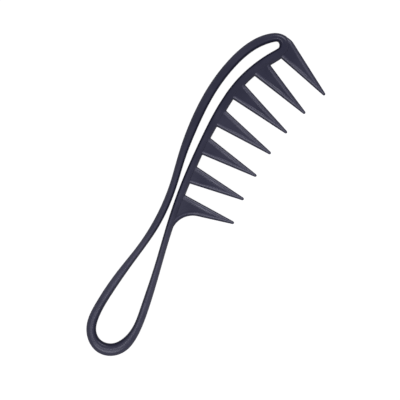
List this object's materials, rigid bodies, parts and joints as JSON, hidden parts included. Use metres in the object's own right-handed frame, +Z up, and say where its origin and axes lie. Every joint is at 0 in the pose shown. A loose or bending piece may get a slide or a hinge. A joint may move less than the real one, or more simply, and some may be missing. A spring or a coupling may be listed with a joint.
{
  "type": "wide tooth comb",
  "caption": "Wide tooth comb for wet or curly hair, with long pointed teeth below a slotted head and an open looped handle.",
  "frame": {"origin": "under the middle of the comb's box, on the plane that its lower face rests on", "axes": "+X from the handle to the head, along the comb's length; +Z up, through its thickness; the teeth point to -Y"},
  "size_m": [0.2208, 0.0627, 0.007],
  "materials": {
    "comb_plastic": "satin moulded"
  },
  "bodies": {
    "root": {"frame_loop": "comb_plastic", "tooth_1": "comb_plastic", "tooth_2": "comb_plastic", "tooth_3": "comb_plastic", "tooth_4": "comb_plastic", "tooth_5": "comb_plastic", "tooth_6": "comb_plastic", "tooth_7": "comb_plastic"}
  },
  "joints": []
}
